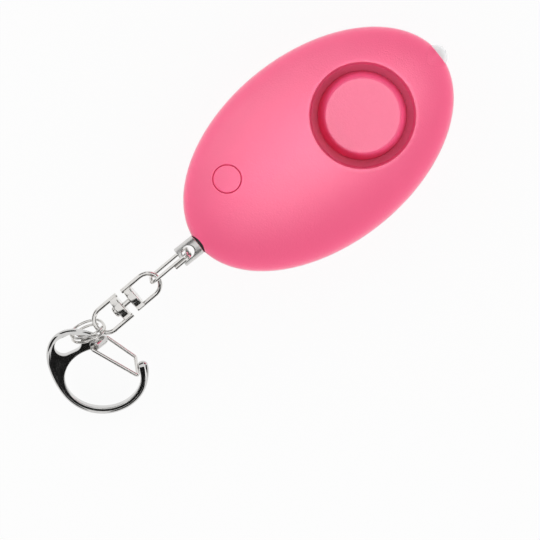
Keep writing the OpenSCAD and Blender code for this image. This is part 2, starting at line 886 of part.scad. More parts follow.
module pin_cap() {
    edge = 0.2;
    color("#D9DCE0")
        difference() {
            translate([cap_end, 0, parting_z])
                rotate([0, 90, 0])
                    rotate_extrude()
                        polygon([
                            [0, 0],
                            [cap_r - edge, 0],
                            [cap_r, edge],
                            [cap_r, cap_length - edge],
                            [cap_r - edge, cap_length],
                            [0, cap_length]
                        ]);
            translate([hole_x, 0, parting_z])
                cylinder(h = far, r = cross_hole_r, center = true);
            for (side = [0, 1])
                translate([hole_x, 0, parting_z])
                    mirror([0, 0, side])
                        translate([0, 0, cap_r - 0.5])
                            cylinder(h = 1, r1 = cross_hole_r - 0.1, r2 = cross_hole_r + 0.5);
        }
}

// A quarter bend in the XZ plane, from +Z round to -X
module bend(radius, r) {
    rotate([90, 0, 0])
        rotate_extrude(angle = 90)
            translate([radius, 0])
                circle(r = r);
}

// A wire rectangle with round corners; its overlapping end lies beside the rod in the cap
module oval_link() {
    straight_z = 2 * (strand_z - link_bend);
    straight_x = link_length - 2 * link_bend;
    color("#D4D7DB")
        translate(link_at)
            rotate(link_turn) {
                translate([0, rod_offset, 0]) {
                    for (x = [0, -link_length])
                        rod([x, 0, -straight_z / 2], [x, 0, straight_z / 2], link_wire_r);
                    for (z = [-strand_z, strand_z])
                        rod([-link_length + link_bend, 0, z], [-link_bend, 0, z], link_wire_r);
                    for (flip = [0, 1], end = [0, 1])
                        mirror([0, 0, flip])
                            translate([-link_length / 2, 0, 0])
                                mirror([end, 0, 0])
                                    translate([straight_x / 2, 0, straight_z / 2])
                                        bend(link_bend, link_wire_r);
                }
                translate([0, -rod_offset, 0]) {
                    rod([0, 0, 0], [0, 0, straight_z / 2], link_wire_r);
                    translate([-link_bend, 0, straight_z / 2])
                        bend(link_bend, link_wire_r);
                    rod([-link_bend, 0, strand_z], [-link_bend - link_tail, 0, strand_z], link_wire_r);
                }
            }
}

// A loop of wire with a drum across its open end; its round end's wire is centred on the origin
module swivel_loop(bore_r) {
    leg = loop_length - loop_wire_r;
    drum_x = -leg + drum_inset;
    difference() {
        union() {
            translate([-loop_half, 0, 0])
                rotate([0, 0, -90])
                    rotate_extrude(angle = 180)
                        translate([loop_half, 0])
                            circle(r = loop_wire_r);
            for (y = [-loop_half, loop_half])
                rod([-loop_half, y, 0], [-leg, y, 0], loop_wire_r);
            rod([drum_x, 0, 0], [drum_x + drum_t, 0, 0], drum_r);
        }
        rod([drum_x - 1, 0, 0], [drum_x + drum_t + 1, 0, 0], bore_r);
    }
}

module in_swivel() {
    translate(swivel_at)
        rotate(swivel_turn)
            children();
}

module swivel_upper_loop() {
    color("#D6D9DD")
        in_swivel()
            rotate([upper_roll, 0, 0])
                swivel_loop(rivet_r);
}

module swivel_lower_loop() {
    color("#D6D9DD")
        in_swivel()
            translate([-swivel_span, 0, 0])
                rotate([0, 0, 180])
                    swivel_loop(rivet_r + rivet_gap);
}

// Fast in the upper drum, with its head inside the lower loop
module swivel_rivet() {
    upper_face = -(loop_length - loop_wire_r) + drum_inset + drum_t;
    lower_face = -swivel_span + loop_length - loop_wire_r - drum_inset - drum_t;
    head_gap = 0.12;
    color("#C3C6CB")
        in_swivel() {
            rod([lower_face - head_gap, 0, 0], [upper_face, 0, 0], rivet_r);
            rod([lower_face - head_gap - rivet_head_t, 0, 0], [lower_face - head_gap, 0, 0], rivet_head_r);
        }
}

// The split ring: two turns of one wire that climbs from the lower to the upper turn half way along
ring_first = ring_climb;
ring_last = 720 - ring_climb;
ring_steps = 44;
function ring_angle(k) = ring_first + (ring_last - ring_first) * k / ring_steps;
function ring_level(a) = let (u = max(0, min(1, (a - 360 + ring_climb) / (2 * ring_climb))))
    ring_pitch * (u * u * (3 - 2 * u) - 0.5);
function ring_point(a) = [ring_r * cos(a), ring_r * sin(a), ring_level(a)];
ring_middles = [for (k = [0 : ring_steps]) ring_point(ring_angle(k))];
ring_apart = min([
    for (i = [0 : ring_steps], j = [0 : ring_steps])
        if (j - i > 12) norm(ring_middles[i] - ring_middles[j])
]) - 2 * ring_wire_r;
echo(split_ring_least_gap = ring_apart);

module split_ring() {
    sides = 6;
    points = [
        for (k = [0 : ring_steps], i = [0 : sides - 1])
            let (a = ring_angle(k), t = 360 * i / sides, out = ring_r + ring_wire_r * cos(t))
                [out * cos(a), out * sin(a), ring_level(a) + ring_wire_r * sin(t)]
    ];
    ends = [
        for (i = [1 : sides - 2]) [0, i + 1, i],
        for (i = [1 : sides - 2]) [0, i, i + 1] + ring_steps * sides * [1, 1, 1]
    ];
    color("#D0D3D8")
        translate(ring_at)
            rotate(ring_turn)
                polyhedron(points, [each flipped(skin(0, ring_steps, sides)), each ends]);
}

// The clasp's body: a bevelled band round the opening, from the knob past the eye to the nose
module clasp_band() {
    step = 7;
    stations = ceil((nose_end - head_end) / step);
    half_t = clasp_t / 2;
    points = [
        for (k = [0 : stations])
            let (a = head_end + (nose_end - head_end) * k / stations, low = opening_r(a), high = body_r(a),
                section = [
                    [low, clasp_bevel - half_t],
                    [low + clasp_bevel, -half_t],
                    [high - clasp_bevel, -half_t],
                    [high, clasp_bevel - half_t],
                    [high, half_t - clasp_bevel],
                    [high - clasp_bevel, half_t],
                    [low + clasp_bevel, half_t],
                    [low, half_t - clasp_bevel]
                ])
                for (p = section) [p[0] * cos(a), p[0] * sin(a), p[1]]
    ];
    ends = [
        for (i = [1 : 6]) [0, i + 1, i],
        for (i = [1 : 6]) [0, i, i + 1] + stations * 8 * [1, 1, 1]
    ];
    polyhedron(points, [each flipped(skin(0, stations, 8)), each ends]);
}

module in_clasp() {
    translate(clasp_at)
        rotate(clasp_frame)
            children();
}

module clasp_body() {
    color("#8E9196")
        in_clasp()
            difference() {
                union() {
                    clasp_band();
                    rod(pivot - knob_back * gate_axis, pivot + knob_front * gate_axis, knob_r);
                }
                translate([eye_at.x, eye_at.y, -far / 2])
                    rotate([0, 0, eye_turn]) {
                        for (side = [-1, 1])
                            translate([side * eye_length / 2, 0, 0])
                                cylinder(h = far, r = eye_r);
                        translate([-eye_length / 2, -eye_r, 0])
                            cube([eye_length, 2 * eye_r, far]);
                    }
                rod(pivot - far * gate_axis, pivot + far * gate_axis, gate_wire_r + gate_gap);
                rod(latch - far * bar_axis, latch + far * bar_axis, gate_wire_r + gate_side_gap);
            }
}

// The gate: a wire bent to a long U whose two ends turn in to the knob
module clasp_gate() {
    side = gate_width / 2 * gate_axis;
    bar = gate_width / 2 * bar_axis;
    tip = (knob_front - pin_depth) * gate_axis;
    corner_r = gate_wire_r * 1.06;
    color("#CDD0D5")
        in_clasp() {
            rod(latch - bar, latch + bar, gate_wire_r);
            for (s = [-1, 1]) {
                rod(pivot + s * side, latch + s * bar, gate_wire_r);
                rod(pivot + s * tip, pivot + s * side, gate_wire_r);
                for (corner = [pivot + s * side, latch + s * bar])
                    translate(corner)
                        sphere(r = corner_r);
            }
        }
}

front_shell();
rear_shell();
sounder_cap();
sounder_gasket();
piezo_plate();
piezo_ceramic();
sounder_wires();
push_button();
switch_plunger();
switch_body();
circuit_board();
driver_chip();
drive_coil();
lamp();
lamp_leads();
battery_tray();
button_cells();
positive_contact();
negative_contact();
contact_bridges();
pin_socket();
pin_contacts();
case_screws();
pin_plug();
pin_shaft();
pin_cap();
oval_link();
swivel_upper_loop();
swivel_rivet();
swivel_lower_loop();
split_ring();
clasp_body();
clasp_gate();
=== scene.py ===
# %% [markdown]
# # A personal safety alarm
# The alarm is a pink plastic egg with a sounder, a press button and a small lamp. A steel pin plugs into its
# narrow end, and a link, a swivel, a split ring and a clasp hang from that pin. The engineering model is loaded
# first, as a frame that never moves. Everything that shows is then dressed in finer surfaces where it stands.

# %% Load the engineering model
import bmesh
import bpy
import numpy as np
from mathutils import Matrix


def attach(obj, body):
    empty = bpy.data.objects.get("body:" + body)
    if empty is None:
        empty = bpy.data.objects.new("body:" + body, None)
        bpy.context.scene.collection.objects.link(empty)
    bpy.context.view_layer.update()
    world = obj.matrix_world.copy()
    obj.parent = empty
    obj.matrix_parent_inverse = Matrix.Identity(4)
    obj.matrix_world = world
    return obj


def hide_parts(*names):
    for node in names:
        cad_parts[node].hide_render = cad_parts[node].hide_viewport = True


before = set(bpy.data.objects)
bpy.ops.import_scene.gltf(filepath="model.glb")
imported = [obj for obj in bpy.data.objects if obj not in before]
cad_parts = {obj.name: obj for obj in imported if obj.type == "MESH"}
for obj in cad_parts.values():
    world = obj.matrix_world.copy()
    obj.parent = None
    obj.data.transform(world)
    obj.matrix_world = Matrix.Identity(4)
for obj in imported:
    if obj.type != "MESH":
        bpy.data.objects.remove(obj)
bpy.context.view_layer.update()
MM = 0.001

# %% [markdown]
# ## Camera
# The photograph looks down on the alarm with a long lens, two degrees off the vertical, turned so that the egg
# points up to the right. A camera could be aimed with a tracking constraint, but its axes are known here, so they
# are written straight into its matrix: image right, image up, and the way back to the eye.

# %% Point the camera down
BACK = np.array([0.0, np.sin(np.radians(2)), np.cos(np.radians(2))])
UP = np.array([0.6180, 0.7862, 0.0])
UP -= UP @ BACK * BACK
UP /= np.linalg.norm(UP)
RIGHT = np.cross(UP, BACK)
TARGET = np.array([-0.02383, -0.01374, 0.0088])
DISTANCE, FIELD = 1.6, 0.1139

lens = bpy.data.cameras.new("camera")
lens.sensor_width = 36
lens.lens = 36 * DISTANCE / FIELD
lens.clip_start = 0.05
camera = bpy.data.objects.new("camera", lens)
bpy.context.collection.objects.link(camera)
pose = np.eye(4)
pose[:3, 0], pose[:3, 1], pose[:3, 2], pose[:3, 3] = RIGHT, UP, BACK, TARGET + DISTANCE * BACK
camera.matrix_world = Matrix(pose.tolist())
bpy.context.scene.camera = camera
print("lens", round(lens.lens), "mm")

# %% [markdown]
# ## Colours and nodes
# Colours are written as the eye reads them, in sRGB hex, and turned to linear light by one function. Another adds a
# shader node with its settings and links. A third starts a material whose constant values sit on the shader itself,
# and a fourth turns a real size into a texture scale. Together they keep every material to a few lines.

# %% Helpers for materials
def linear(code):
    """sRGB to linear: c / 12.92 for dark values, and ((c + 0.055) / 1.055) to the power 2.4 for the rest."""
    c = np.array([int(code[i:i + 2], 16) for i in (1, 3, 5)]) / 255
    return (*np.where(c < 0.04045, c / 12.92, ((c + 0.055) / 1.055) ** 2.4).tolist(), 1.0)


def add(tree, kind, settings, inputs):
    """Adds one node: settings are its properties, and an input is a value or another node's output."""
    node = tree.nodes.new("ShaderNode" + kind)
    for name, value in settings.items():
        setattr(node, name, value)
    for name, value in inputs.items():
        if isinstance(value, bpy.types.NodeSocket):
            tree.links.new(value, node.inputs[name])
        else:
            node.inputs[name].default_value = value
    return node


def finish_named(name, **constants):
    """A material, its tree, its shader with the constant inputs set, and its Object coordinates."""
    material = bpy.data.materials.new(name)
    material.use_nodes = True
    tree = material.node_tree
    shader = tree.nodes["Principled BSDF"]
    for key, value in constants.items():
        shader.inputs[key.replace("_", " ")].default_value = value
    return material, tree, shader, add(tree, "TexCoord", {}, {}).outputs["Object"]


def per_mm(size):
    """Texture scale for features of this size in millimetres, because Object coordinates are in metres."""
    return 1000 / size


print("white in linear light", linear("#FFFFFF")[:3])

# %% [markdown]
# ## Moulded pink ABS
# The case is injection-moulded ABS from a lightly blasted mould. That gives a satin skin: one even colour, a
# broad soft highlight, and a very fine grain. An image texture could carry the grain, but noise on Object
# coordinates has no seams and follows the part into any other program. The real grain is near 0.1 mm, too fine
# for the picture, so it is drawn at 0.35 mm. Seen edge on, the blasted skin looks paler, which is what sheen gives.
# The button and its collar get a copy without sheen, so the V line round the button stays dark red: painted shade
# in that crease. The groove's surfaces get a less saturated tint with half the mirror reflection: painted shade for
# the dim groove.

# %% The case's plastic
def moulded_abs(name, pale, deep, grain=0.35, **constants):
    """Two close tints in clouds a centimetre wide, and a grain that lifts the surface and varies its gloss."""
    material, tree, shader, place = finish_named(name, IOR=1.53, **constants)
    cloud = add(tree, "TexNoise", {}, {"Vector": place, "Scale": per_mm(11), "Detail": 2.0})
    tint = add(tree, "Mix", {"data_type": "RGBA"},
               {"Factor": cloud.outputs["Fac"], "A": linear(pale), "B": linear(deep)})
    fine = add(tree, "TexNoise", {}, {"Vector": place, "Scale": per_mm(grain), "Detail": 3.0, "Roughness": 0.6})
    gloss = add(tree, "MapRange", {}, {"Value": fine.outputs["Fac"], "To Min": 0.44, "To Max": 0.58})
    relief = add(tree, "Bump", {}, {"Height": fine.outputs["Fac"], "Strength": 1.0, "Distance": 0.07 * MM})
    tree.links.new(tint.outputs["Result"], shader.inputs["Base Color"])
    tree.links.new(gloss.outputs["Result"], shader.inputs["Roughness"])
    tree.links.new(relief.outputs["Normal"], shader.inputs["Normal"])
    return material


# The groove's copy of the pink is painted shade: a duller tint with half the mirror reflection for the surfaces
# inside the sounder's groove.
groove_shade_abs = moulded_abs("pink_abs_painted_groove_shade", "#F25886", "#EE5482", Specular_IOR_Level=0.25)
pink_abs = moulded_abs("pink_abs_moulded_satin", "#FA4780", "#F8437C", Sheen_Weight=1.0, Sheen_Roughness=0.4)
# The button's copy has no sheen and a slightly paler tint, so the V line round the button stays dark red: painted
# shade in that crease.
crease_shade_abs = moulded_abs("pink_abs_no_sheen_crease_shade", "#FA4D84", "#F84980")
black_abs = moulded_abs("black_abs_moulded", "#1C1C1E", "#141416")
print("finishes", pink_abs.name, black_abs.name)

# %% [markdown]
# ## Nickel plate and the other metals
# The chain is steel and zinc, barrel-polished and nickel-plated. Nickel mirrors the room with a slightly warm
# grey, and handling leaves faint patches and hair scratches that only change its gloss. So the colour is nearly
# constant, and noise drives the roughness.

# %% Metals
def plated(name, pale, deep, low, high, patch=1.6, hair=0.12):
    """A metal whose gloss wanders in patches, with stretched noise as hair scratches in its relief."""
    material, tree, shader, place = finish_named(name, Metallic=1.0)
    patches = add(tree, "TexNoise", {}, {"Vector": place, "Scale": per_mm(patch), "Detail": 4.0})
    gloss = add(tree, "MapRange", {}, {"Value": patches.outputs["Fac"], "From Min": 0.3, "From Max": 0.7,
                                       "To Min": low, "To Max": high})
    tint = add(tree, "Mix", {"data_type": "RGBA"},
               {"Factor": patches.outputs["Fac"], "A": linear(pale), "B": linear(deep)})
    stretched = add(tree, "Mapping", {}, {"Vector": place, "Scale": (1.0, 0.15, 1.0)})
    hairs = add(tree, "TexNoise", {}, {"Vector": stretched.outputs["Vector"], "Scale": per_mm(hair), "Detail": 2.0})
    relief = add(tree, "Bump", {}, {"Height": hairs.outputs["Fac"], "Strength": 0.05, "Distance": 0.02 * MM})
    tree.links.new(tint.outputs["Result"], shader.inputs["Base Color"])
    tree.links.new(gloss.outputs["Result"], shader.inputs["Roughness"])
    tree.links.new(relief.outputs["Normal"], shader.inputs["Normal"])
    return material


nickel = plated("nickel_plated_polished", "#E6E4E1", "#D8D6D3", 0.1, 0.2)
turned_nickel = plated("nickel_plated_turned", "#DAD9D7", "#CBCAC8", 0.26, 0.36)
dark_nickel = plated("nickel_plated_zinc_die_cast", "#D9D8D6", "#C6C5C4", 0.05, 0.14)
steel = plated("steel_drawn", "#C9CBCE", "#B9BCC0", 0.18, 0.32)
brass = plated("brass_rolled", "#D8B463", "#C79F4C", 0.2, 0.35)
copper_wire = plated("copper_wire_enamelled", "#9A4F2C", "#7E3F24", 0.25, 0.4)
print("metals", nickel.name, turned_nickel.name, dark_nickel.name, steel.name, brass.name, copper_wire.name)

# %% [markdown]
# ## Small parts inside
# The board, the gasket, the sensor disc and the wires hide in the closed case. They still get the finish of the
# real thing, because someone may open the model: solder-masked laminate, foam rubber, fired ceramic, and so on.

# %% Finishes of the inner parts
def speckled(name, pale, deep, speck, low, high, **constants):
    """A dull material with two tints in specks of the given size in millimetres, and the same specks in its gloss."""
    material, tree, shader, place = finish_named(name, **constants)
    specks = add(tree, "TexNoise", {}, {"Vector": place, "Scale": per_mm(speck), "Detail": 3.0})
    tint = add(tree, "Mix", {"data_type": "RGBA"},
               {"Factor": specks.outputs["Fac"], "A": linear(pale), "B": linear(deep)})
    gloss = add(tree, "MapRange", {}, {"Value": specks.outputs["Fac"], "To Min": low, "To Max": high})
    relief = add(tree, "Bump", {}, {"Height": specks.outputs["Fac"], "Strength": 0.15, "Distance": 0.05 * MM})
    tree.links.new(tint.outputs["Result"], shader.inputs["Base Color"])
    tree.links.new(gloss.outputs["Result"], shader.inputs["Roughness"])
    tree.links.new(relief.outputs["Normal"], shader.inputs["Normal"])
    return material


laminate = speckled("glass_laminate_solder_masked", "#2F7A4C", "#27693F", 0.5, 0.3, 0.45)
foam = speckled("foam_rubber_die_cut", "#343434", "#262626", 0.4, 0.75, 0.95)
ceramic = speckled("piezo_ceramic_silvered", "#EAE7DE", "#D9D5CA", 0.6, 0.4, 0.6)
insulation = speckled("pvc_wire_insulation", "#B23A30", "#9C3028", 0.8, 0.35, 0.5)
lens_resin = speckled("epoxy_lens_cast_diffused", "#FAFAFA", "#F2F3F4", 0.6, 0.16, 0.28,
                      Transmission_Weight=0.12, IOR=1.54)
print("inner finishes", laminate.name, foam.name, ceramic.name, insulation.name, lens_resin.name)

dressing = {
    black_abs: ["switch_plunger", "switch_body", "driver_chip", "battery_tray", "pin_socket", "pin_plug"],
    steel: ["lamp_leads", "button_cells", "positive_contact", "negative_contact", "contact_bridges",
            "case_screws", "pin_shaft"],
    brass: ["piezo_plate", "pin_contacts"],
    laminate: ["circuit_board"],
    foam: ["sounder_gasket"],
    ceramic: ["piezo_ceramic"],
    insulation: ["sounder_wires"],
    copper_wire: ["drive_coil"],
}
for material, names in dressing.items():
    for name in names:
        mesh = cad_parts[name].data
        mesh.materials.clear()
        mesh.materials.append(material)
print("dressed", sum(map(len, dressing.values())), "nodes that keep their engineering shape")

# %% [markdown]
# ## Surfaces from numbers
# Every new piece is a grid of points worked out with numpy. `skin` joins the grid's rows with quads and closes
# its two ends with fans, `solid` puts one or more skins into a mesh with its faces outwards, and `settle` says
# which body the piece rides on and which engineering node it stands for.

# %% Grids, meshes and seats
def skin(grid, closed_along=False):
    """Quads between neighbouring rows; every row is a closed ring. The end rings are closed by fans, or joined."""
    rows, cols = grid.shape[:2]
    index = np.arange(rows * cols).reshape(rows, cols)
    low, high = (index, np.roll(index, -1, 0)) if closed_along else (index[:-1], index[1:])
    faces = np.stack([low, np.roll(low, -1, 1), np.roll(high, -1, 1), high], -1).reshape(-1, 4).tolist()
    points = grid.reshape(-1, 3)
    if not closed_along:
        first, last = index[0], index[-1]
        faces += np.stack([np.roll(first, -1), first, np.full(cols, rows * cols)], -1).tolist()
        faces += np.stack([last, np.roll(last, -1), np.full(cols, rows * cols + 1)], -1).tolist()
        points = np.vstack([points, grid[[0, -1]].mean(1)])
    return points, faces


def solid(name, *skins):
    """One mesh object from skins in millimetres, with every closed surface turned outwards."""
    starts = np.cumsum([0] + [len(points) for points, _ in skins])
    faces = [[i + int(start) for i in face] for (_, part), start in zip(skins, starts) for face in part]
    mesh = bpy.data.meshes.new(name)
    mesh.from_pydata(np.vstack([points for points, _ in skins]) * MM, [], faces)
    work = bmesh.new()
    work.from_mesh(mesh)
    bmesh.ops.recalc_face_normals(work, faces=work.faces)
    work.to_mesh(mesh)
    work.free()
    piece = bpy.data.objects.new(name, mesh)
    bpy.context.collection.objects.link(piece)
    return piece


def carve(piece, *cutters):
    """Takes each cutter's solid out of the piece and removes the cutter."""
    for cutter in cutters:
        step = piece.modifiers.new("carve", "BOOLEAN")
        step.operation, step.solver, step.object = "DIFFERENCE", "EXACT", cutter
        bpy.context.view_layer.objects.active = piece
        bpy.ops.object.modifier_apply(modifier=step.name)
        bpy.data.objects.remove(cutter)


def settle(piece, body, node, material, crease=32):
    """Smooth faces with creases above an angle in degrees, then the material, the body, and the engineering node it
    hides.
    """
    piece.data.shade_smooth()
    piece.data.set_sharp_from_angle(angle=np.radians(crease))
    piece.data.materials.clear()
    piece.data.materials.append(material)
    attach(piece, body)
    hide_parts(node)
    print(piece.name, len(piece.data.polygons), "faces on", body)


print("a grid of 2 x 4 points makes", len(skin(np.zeros((2, 4, 3)))[1]), "faces with its two fans")

# %% [markdown]
# ## Rounded corners, lathes and wires
# Nearly every edge of a real part is a small arc. `eased` turns the corners of a polyline into true arcs, in two
# or three dimensions. A profile that is eased and spun gives a lathed part, and a path that is eased and swept
# gives a bent wire.

# %% Arcs, spins and sweeps
def eased(corners, radius, steps=7):
    """Each inner corner becomes an arc: the conic ((1-t)^2 a + 2t(1-t) w p + t^2 b) over its own weights, where a
    and b lie on the corner's sides at the tangent points and w is the sine of half the corner's angle."""
    corners = np.asarray(corners, float)
    p = corners[1:-1, None]
    before, after = corners[:-2, None] - p, corners[2:, None] - p
    before = before / np.linalg.norm(before, axis=-1, keepdims=True)
    after = after / np.linalg.norm(after, axis=-1, keepdims=True)
    half = np.arccos(np.clip((before * after).sum(-1, keepdims=True), -1, 1)) / 2
    reach = np.reshape(radius, (-1, 1, 1)) / np.tan(half)
    t = np.linspace(0, 1, steps)[None, :, None]
    a, m, b = (1 - t) ** 2, 2 * t * (1 - t) * np.sin(half), t ** 2
    arcs = (a * (p + reach * before) + m * p + b * (p + reach * after)) / (a + m + b)
    return np.vstack([corners[:1], arcs.reshape(-1, corners.shape[1]), corners[-1:]])


def spun(profile, sides):
    """Rows of a lathe about X: a profile point (x, r) goes round as (x, r cos, r sin)."""
    a = np.linspace(0, 2 * np.pi, sides, endpoint=False)
    x, r = np.asarray(profile, float).T[:, :, None]
    return np.stack([x + 0 * a, r * np.cos(a), r * np.sin(a)], -1)


def swept(path, radius, normal, sides=18):
    """A round wire along a path: rings in the plane of u = tangent x normal and v = u x tangent."""
    tangent = np.gradient(path, axis=0)
    tangent /= np.linalg.norm(tangent, axis=1, keepdims=True)
    u = np.cross(tangent, normal)
    u /= np.linalg.norm(u, axis=1, keepdims=True)
    v = np.cross(u, tangent)
    a = np.linspace(0, 2 * np.pi, sides, endpoint=False)[None, :, None]
    r = np.broadcast_to(radius, len(path))[:, None, None]
    return path[:, None] + r * (np.cos(a) * u[:, None] + np.sin(a) * v[:, None])


def turn(x, y, z):
    """The rotation about X, then Y, then Z, in degrees, as a matrix."""
    (cx, sx), (cy, sy), (cz, sz) = [(np.cos(np.radians(a)), np.sin(np.radians(a))) for a in (x, y, z)]
    about_x = np.array([[1, 0, 0], [0, cx, -sx], [0, sx, cx]])
    about_y = np.array([[cy, 0, sy], [0, 1, 0], [-sy, 0, cy]])
    about_z = np.array([[cz, -sz, 0], [sz, cz, 0], [0, 0, 1]])
    return about_z @ about_y @ about_x


def placed(grid, rotation, at):
    """Points of a grid turned by a matrix and moved to a place."""
    return grid @ np.asarray(rotation).T + np.asarray(at, float)


def upright(at):
    """Turns the lathe's axis up and moves it to a place."""
    return lambda grid: placed(grid, [[0, 0, -1], [0, 1, 0], [1, 0, 0]], at)


print("a corner of 90 degrees with radius 1:", eased([(0, 0), (2, 0), (2, 2)], 1, 3)[1:-1].round(3).tolist())

# %% [markdown]
# ## The front shell
# The upper half of the egg is half an ellipsoid. Its grid runs round the egg and up from the rim to the crown,
# inside and outside, so that the wall has its real thickness. Four round holes go through it: for the sounder,
# the button, the lamp and the pin. A Boolean cuts them, because no simple grid has holes in it. The rim is drawn
# in a hair at the parting line, as moulded halves are, so the join reads as a fine line.

# %% The egg's upper half
HALF_L, HALF_W, CROWN, PART, WALL = 32.5, 20.6, 10.2, 8.8, 1.8
SOUNDER, BUTTON = (11.5, 0.0), (-19.1, 7.1)
GROOVE_EDGE, COLLAR_EDGE, LAMP_HOLE, PIN_HOLE = 12.0, 3.5, 2.6, 2.28
FINE, ROUND = 288, 144  # sides of a large and of a medium circle


def dome(x, y):
    """Height of the ellipsoid: part + crown * sqrt(1 - (x / a)^2 - (y / b)^2)."""
    return PART + CROWN * np.sqrt(np.maximum(0, 1 - (x / HALF_L) ** 2 - (y / HALF_W) ** 2))


def egg_rows(inset, levels, sides=FINE):
    """Rows of half an ellipsoid, set in by a wall: (a cos t cos u, b cos t sin u, crown sin t)."""
    u = np.linspace(0, 2 * np.pi, sides, endpoint=False)
    t = np.asarray(levels)[:, None]
    return np.stack([(HALF_L - inset) * np.cos(t) * np.cos(u), (HALF_W - inset) * np.cos(t) * np.sin(u),
                     PART + (CROWN - inset) * np.sin(t) + 0 * u], -1)


def seamed(rows, depth=0.16, width=0.14):
    """Draws rows in towards the middle near the parting line, by depth * exp(-(height / width)^2)."""
    pull = depth * np.exp(-((rows[..., 2:] - PART) / width) ** 2)
    out = rows[..., :2] / np.array([HALF_L, HALF_W]) ** 2
    out /= np.maximum(np.linalg.norm(out, axis=-1, keepdims=True), 1e-9)
    return np.concatenate([rows[..., :2] - pull * out, rows[..., 2:]], -1)


def level_x(grid):
    """Lifts a lathe about X to the height of the parting line."""
    return placed(grid, np.eye(3), (0, 0, PART))


def drill(radius, start, end, axis="x", at=(0.0, 0.0), sides=ROUND):
    """A round cutter: along X at the parting line, or upright at a place."""
    rod = spun([(start, radius), (end, radius)], sides)
    return solid("cutter", skin(level_x(rod) if axis == "x" else upright((*at, 0))(rod)))


up = np.radians(90) * np.linspace(0, 1, 112, endpoint=False) ** 1.25
outside = seamed(egg_rows(0, np.append(up, np.radians(89.6))))
inside = egg_rows(WALL, np.radians(np.linspace(89.0, 0, 40)))
front = solid("front_shell_skin", skin(np.concatenate([inside, outside])))
carve(front, drill(GROOVE_EDGE, 5, 40, "z", SOUNDER, FINE), drill(COLLAR_EDGE, 5, 40, "z", BUTTON),
      drill(LAMP_HOLE, 24, 40), drill(PIN_HOLE, -40, -24))
settle(front, "case", "front_shell", pink_abs)

# %% [markdown]
# ## The sounder: a groove and a cap
# The sound comes out of a ring-shaped groove. Its lip, wall and floor belong to the front shell, and the disc in the
# middle is a separate cap with a mounting ring below the slot. The cap is flat and level, and the groove's floor
# falls from its wall to the slot, while the lip follows the egg, so the groove is deepest towards the egg's middle. A
# plain spin can't do both. The grid spins a profile of radius and depth, and measures depth from the dome or from a
# level. The lip and the cap's top keep the case's plastic, and the surfaces between them take the groove's duller
# tint, which is painted shade.

# %% The groove
CAP_TOP = dome(SOUNDER[0] + 8.0, 0.0)


def dome_spun(at, profile, sides, level=None):
    """A profile of (radius, depth) round an upright axis, with each depth measured down from the dome or a level."""
    a = np.linspace(0, 2 * np.pi, sides, endpoint=False)
    r, depth = np.asarray(profile, float).T[:, :, None]
    x, y = at[0] + r * np.cos(a), at[1] + r * np.sin(a)
    return np.stack([x, y, (dome(x, y) if level is None else level + 0 * x) - depth], -1)


lip_line = eased([(GROOVE_EDGE, 0.9), (GROOVE_EDGE, 0.004), (11.3, 0.1), (11.24, 0.45)], [0.002, 0.15])
lip = solid("sounder_groove_lip", skin(dome_spun(SOUNDER, lip_line, FINE), closed_along=True))
settle(lip, "case", "front_shell", pink_abs, 40)
bed = eased([(11.0, 1.8), (10.85, 2.35), (9.39, 3.0), (9.39, 4.0), (GROOVE_EDGE, 4.0)], [0.2, 0.04, 0.05])
trough = np.concatenate([dome_spun(SOUNDER, [(GROOVE_EDGE, 0.7), (11.3, 0.4)], FINE),
                         dome_spun(SOUNDER, bed, FINE, CAP_TOP)])
# The groove's wall and floor take the duller tint: painted shade for the dim groove.
groove = solid("sounder_groove_wall", skin(trough, closed_along=True))
settle(groove, "case", "front_shell", groove_shade_abs, 40)

# %% [markdown]
# The cap is made from one profile in two pieces, cut at the end of its rounded shoulder: the top and the steep wall.
# Its mounting ring is a third piece, which sits out of sight below the slot.

# %% The cap
top = np.stack([np.linspace(0.15, 7.2, 26), np.zeros(26)], -1)
edge = eased([(7.2, 0), (8.0, 0), (9.35, 2.97), (9.36, 3.2), (9.36, 3.9), (8.2, 4.0)], [0.55, 0.05, 0.05, 0.1])
shoulder = 7  # the last point of the first arc
rim = eased([(12.07, 10.0), (12.07, 11.4), (12.87, 11.4), (12.87, 8.6), (12.07, 8.6), (12.07, 10.0)], 0.1, 4)
cap_line = np.vstack([top, edge[1:shoulder + 1], [(7.9, 0.9), (0.15, 0.9)]])
cap = solid("sounder_cap_skin", skin(dome_spun(SOUNDER, cap_line, FINE, CAP_TOP)))
settle(cap, "case", "sounder_cap", pink_abs, 40)
# The cap's steep wall takes the same duller tint: painted shade inside the groove.
wall_line = np.vstack([edge[shoulder:], [(7.4, 3.9), (7.4, 0.6)]])
cap_wall = solid("sounder_cap_wall", skin(dome_spun(SOUNDER, wall_line, FINE, CAP_TOP), closed_along=True))
settle(cap_wall, "case", "sounder_cap", groove_shade_abs, 40)
cap_ring = solid("sounder_cap_ring", skin(upright((*SOUNDER, 0))(spun(rim[:-1], ROUND)), closed_along=True))
settle(cap_ring, "case", "sounder_cap", pink_abs, 40)

# %% [markdown]
# ## The press button
# The button is a round plug in the same plastic, and its face continues the egg's curve. In the photograph only a
# soft dark line shows round it. A plain gap would be too fine to see, so both of its edges are bevelled to a V: the
# shell's hole gets a collar with one side of it, and the button has the other.

